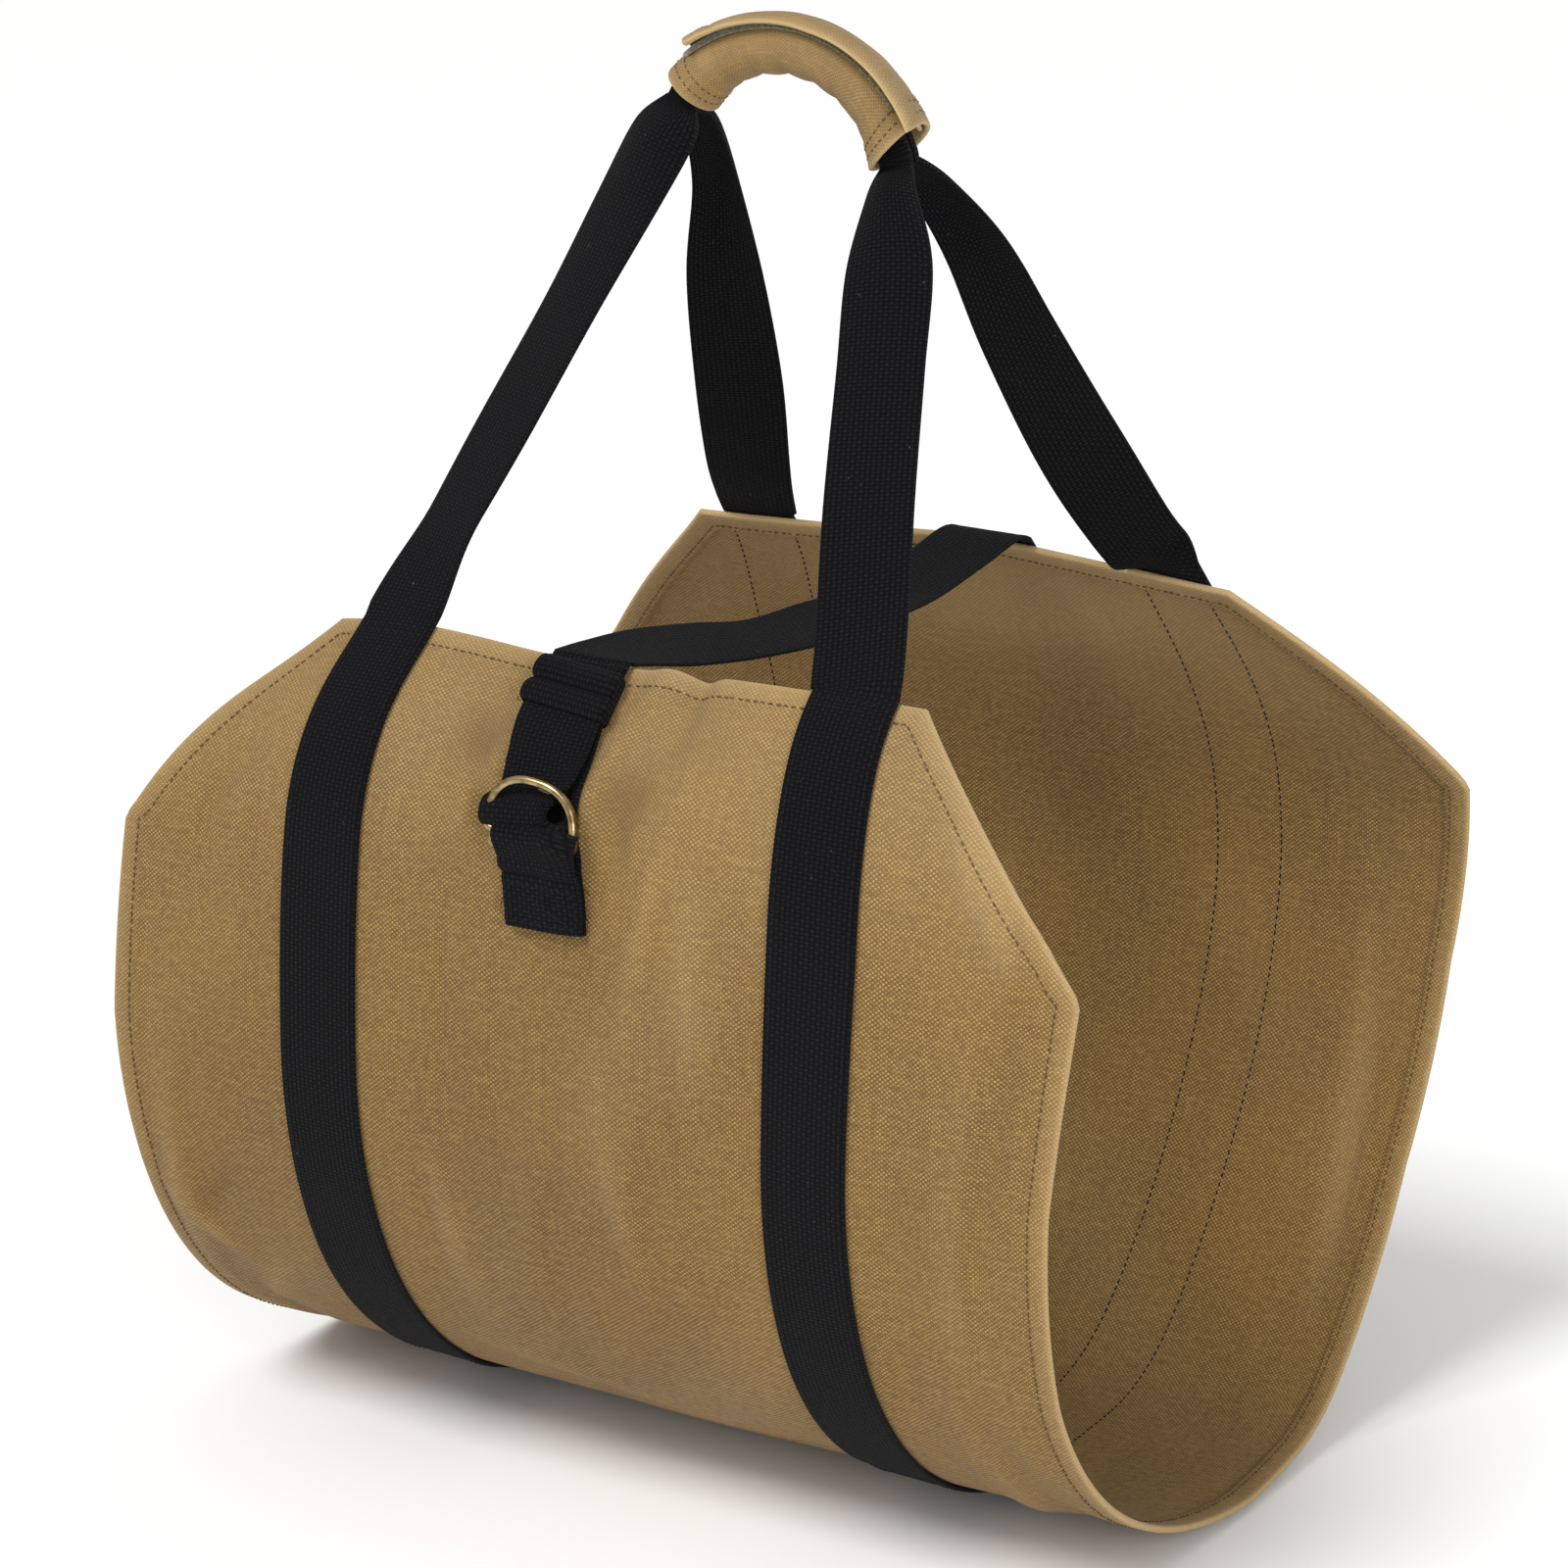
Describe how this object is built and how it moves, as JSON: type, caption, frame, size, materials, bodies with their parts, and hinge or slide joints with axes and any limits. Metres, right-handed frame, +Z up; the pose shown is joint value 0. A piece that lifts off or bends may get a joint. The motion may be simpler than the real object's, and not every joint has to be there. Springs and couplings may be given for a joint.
{
  "type": "log carrier",
  "caption": "Hemmed canvas sheet hanging in a U from webbing handles with a canvas wrap grip, a webbing strap over the open mouth and D-rings at the front.",
  "frame": {"origin": "under the crown of the grip, where a hand holds the carrier", "axes": "+Z up, +X along the load to the right as seen from the front, +Y from the front with the closure to the back"},
  "size_m": [0.4463, 0.396, 0.5976],
  "materials": {
    "waxed_canvas": "matt tan cotton canvas with a slight wax",
    "black_webbing": "matt black twill webbing",
    "hook_and_loop": "olive brushed loop tape",
    "antique_brass": "brown plated wire"
  },
  "bodies": {
    "root": {"canvas_panel": "waxed_canvas", "webbing_front": "black_webbing", "webbing_back": "black_webbing", "grip_cover": "waxed_canvas", "grip_tape": "hook_and_loop", "cross_strap": "black_webbing", "strap_keeper": "black_webbing", "ring_tab": "black_webbing", "d_ring_front": "antique_brass", "d_ring_rear": "antique_brass"}
  },
  "joints": []
}
